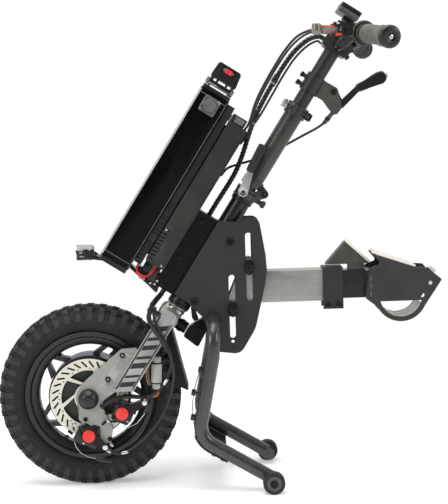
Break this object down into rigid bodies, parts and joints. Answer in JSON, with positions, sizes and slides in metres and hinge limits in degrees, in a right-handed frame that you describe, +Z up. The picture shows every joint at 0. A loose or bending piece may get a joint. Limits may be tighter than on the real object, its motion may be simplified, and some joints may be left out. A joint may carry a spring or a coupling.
{
  "type": "wheelchair power assist",
  "caption": "Clip-on front drive for a wheelchair: hub-motor wheel, battery, folding steering column, docking arm with hook plates and a castor stand.",
  "frame": {"origin": "on the floor, under the middle of the overall length and width", "axes": "+X back towards the rider and the wheelchair, +Y to the rider's right, +Z up"},
  "size_m": [0.911, 0.4531, 0.9692],
  "materials": {
    "plate_black": "matte",
    "tube_grey": "satin",
    "fork_grey": "satin",
    "arm_silver": "brushed",
    "steel": "polished",
    "rotor": "ground",
    "rubber": "matte",
    "grip_rubber": "matte",
    "black_alloy": "satin",
    "battery_black": "gloss",
    "black_plastic": "satin",
    "red": "satin",
    "white": "satin",
    "liner": "satin",
    "display_grey": "satin",
    "cable": "satin",
    "winding": "bare"
  },
  "bodies": {
    "frame": {"side_plate_left": "plate_black", "side_plate_right": "plate_black", "head_tube": "plate_black", "plate_bolts": "steel", "battery_bracket": "plate_black", "controller_housing": "black_alloy", "battery_case": "battery_black", "battery_caps": "black_plastic", "switch_housing": "black_plastic", "stand_hook": "plate_black", "cable_loom": "cable"},
    "rocker": {"rocker_switch": "red"},
    "socket_cap": {"charge_cap": "black_plastic"},
    "lamp": {"headlamp": "black_plastic"},
    "fork": {"fork_crown": "fork_grey", "fork_leg_left": "fork_grey", "fork_leg_right": "fork_grey", "dropout_left": "fork_grey", "dropout_right": "fork_grey", "axle": "steel", "motor_stator": "winding", "brake_calipers": "black_alloy", "caliper_knobs": "red", "mud_flap": "grip_rubber", "fork_cables": "cable", "stem_base": "tube_grey"},
    "main_arm": {"caliper_arm_main": "black_alloy"},
    "park_arm": {"caliper_arm_park": "black_alloy"},
    "wheel": {"tyre": "rubber", "rim": "black_alloy", "hub_cover": "black_alloy", "brake_disc": "rotor"},
    "column": {"stem_tube": "tube_grey"},
    "latch": {"stem_latch": "steel"},
    "cam": {"height_lever": "black_alloy"},
    "bar": {"bar_tube": "tube_grey", "handlebar": "tube_grey", "grip_right": "grip_rubber", "display": "display_grey", "brake_perch": "black_alloy", "park_bracket": "fork_grey"},
    "throttle": {"throttle_grip": "grip_rubber"},
    "lever": {"brake_lever": "steel"},
    "park": {"park_lever": "black_alloy"},
    "button": {"park_button": "white"},
    "arm": {"arm_tube": "arm_silver", "arm_bolts": "steel", "arm_clamp": "plate_black"},
    "dock": {"dock_tube": "plate_black", "hook_plate_left": "plate_black", "hook_plate_right": "plate_black", "hook_liner": "liner", "dock_wedge": "plate_black"},
    "dock_catch": {"dock_latch": "steel"},
    "stand": {"stand_tube": "tube_grey", "stand_leg_left": "tube_grey", "stand_leg_right": "tube_grey", "stand_step": "tube_grey"},
    "wheel_left": {"castor_left": "grip_rubber"},
    "wheel_right": {"castor_right": "grip_rubber"}
  },
  "joints": [
    {"name": "steer", "type": "hinge", "parent": "frame", "child": "fork", "pos_m": [-0.08473, 0, 0.3621], "axis": [0.5446, 0, 0.8387], "range_deg": [-30, 30], "deforming": ["cable_loom"]},
    {"name": "wheel_spin", "type": "hinge", "parent": "fork", "child": "wheel", "pos_m": [-0.26847, 0, 0.1875], "axis": [0, 1, 0], "continuous": true},
    {"name": "column_fold", "type": "hinge", "parent": "fork", "child": "column", "pos_m": [0.10132, 0, 0.58801], "axis": [0, 1, 0], "range_deg": [0, 45], "deforming": ["cable_loom"]},
    {"name": "stem_latch", "type": "hinge", "parent": "fork", "child": "latch", "pos_m": [0.05741, -0.03, 0.59566], "axis": [0, 1, 0], "range_deg": [0, 70]},
    {"name": "bar_height", "type": "slide", "parent": "column", "child": "bar", "axis": [0.5446, 0, 0.8387], "range_m": [-0.025, 0.06], "deforming": ["cable_loom"]},
    {"name": "height_lever", "type": "hinge", "parent": "column", "child": "cam", "pos_m": [0.19127, -0.03, 0.74304], "axis": [-0.5446, 0, -0.8387], "range_deg": [0, 100]},
    {"name": "throttle", "type": "hinge", "parent": "bar", "child": "throttle", "pos_m": [0.29391, -0.1, 0.90293], "axis": [0.3405, -0.9309, -0.1319], "range_deg": [0, 45], "stiffness_Nm_per_rad": 0.6},
    {"name": "brake_lever", "type": "hinge", "parent": "bar", "child": "lever", "pos_m": [0.24527, -0.084, 0.9101], "axis": [0, 0, 1], "range_deg": [0, 18], "stiffness_Nm_per_rad": 4, "deforming": ["fork_cables"]},
    {"name": "park_lever", "type": "hinge", "parent": "bar", "child": "park", "pos_m": [0.24728, 0, 0.79072], "axis": [0, -1, 0], "range_deg": [0, 28], "deforming": ["fork_cables"]},
    {"name": "park_button", "type": "slide", "parent": "park", "child": "button", "axis": [-0.9198, 0, -0.3924], "range_m": [0, 0.004], "stiffness_N_per_m": 400},
    {"name": "caliper_main", "type": "hinge", "parent": "fork", "child": "main_arm", "pos_m": [-0.20086, -0.068, 0.1574], "axis": [0, -1, 0], "range_deg": [0, 12], "deforming": ["fork_cables"]},
    {"name": "caliper_park", "type": "hinge", "parent": "fork", "child": "park_arm", "pos_m": [-0.26976, -0.068, 0.11351], "axis": [0, -1, 0], "range_deg": [0, 14], "deforming": ["fork_cables"]},
    {"name": "arm_height", "type": "slide", "parent": "frame", "child": "arm", "axis": [0, 0, 1], "range_m": [-0.058, 0.058]},
    {"name": "dock_slide", "type": "slide", "parent": "arm", "child": "dock", "axis": [1, 0, 0], "range_m": [-0.01, 0.05]},
    {"name": "dock_latch", "type": "hinge", "parent": "dock", "child": "dock_catch", "pos_m": [0.43227, 0, 0.4001], "axis": [0, 1, 0], "range_deg": [0, 20], "stiffness_Nm_per_rad": 0.5},
    {"name": "stand_fold", "type": "hinge", "parent": "frame", "child": "stand", "pos_m": [-0.01073, 0, 0.3371], "axis": [0, -1, 0], "range_deg": [0, 50]},
    {"name": "castor_left", "type": "hinge", "parent": "stand", "child": "wheel_left", "pos_m": [0.09927, -0.135, 0.022], "axis": [0, 1, 0], "continuous": true},
    {"name": "castor_right", "type": "hinge", "parent": "stand", "child": "wheel_right", "pos_m": [0.09927, 0.135, 0.022], "axis": [0, 1, 0], "continuous": true},
    {"name": "rocker_switch", "type": "hinge", "parent": "frame", "child": "rocker", "pos_m": [0.03535, -0.03, 0.83618], "axis": [0.5446, 0, 0.8387], "range_deg": [-8, 8]},
    {"name": "charge_cap", "type": "hinge", "parent": "frame", "child": "socket_cap", "pos_m": [-0.01791, -0.0505, 0.77896], "axis": [-0.5446, 0, -0.8387], "range_deg": [0, 110]},
    {"name": "lamp_tilt", "type": "hinge", "parent": "frame", "child": "lamp", "pos_m": [-0.2645, 0, 0.48003], "axis": [0, 1, 0], "range_deg": [-15, 15]}
  ],
  "couplings": [
    {"joint": "caliper_main", "follows": "brake_lever", "ratio": 0.66667},
    {"joint": "caliper_park", "follows": "park_lever", "ratio": 0.5}
  ]
}
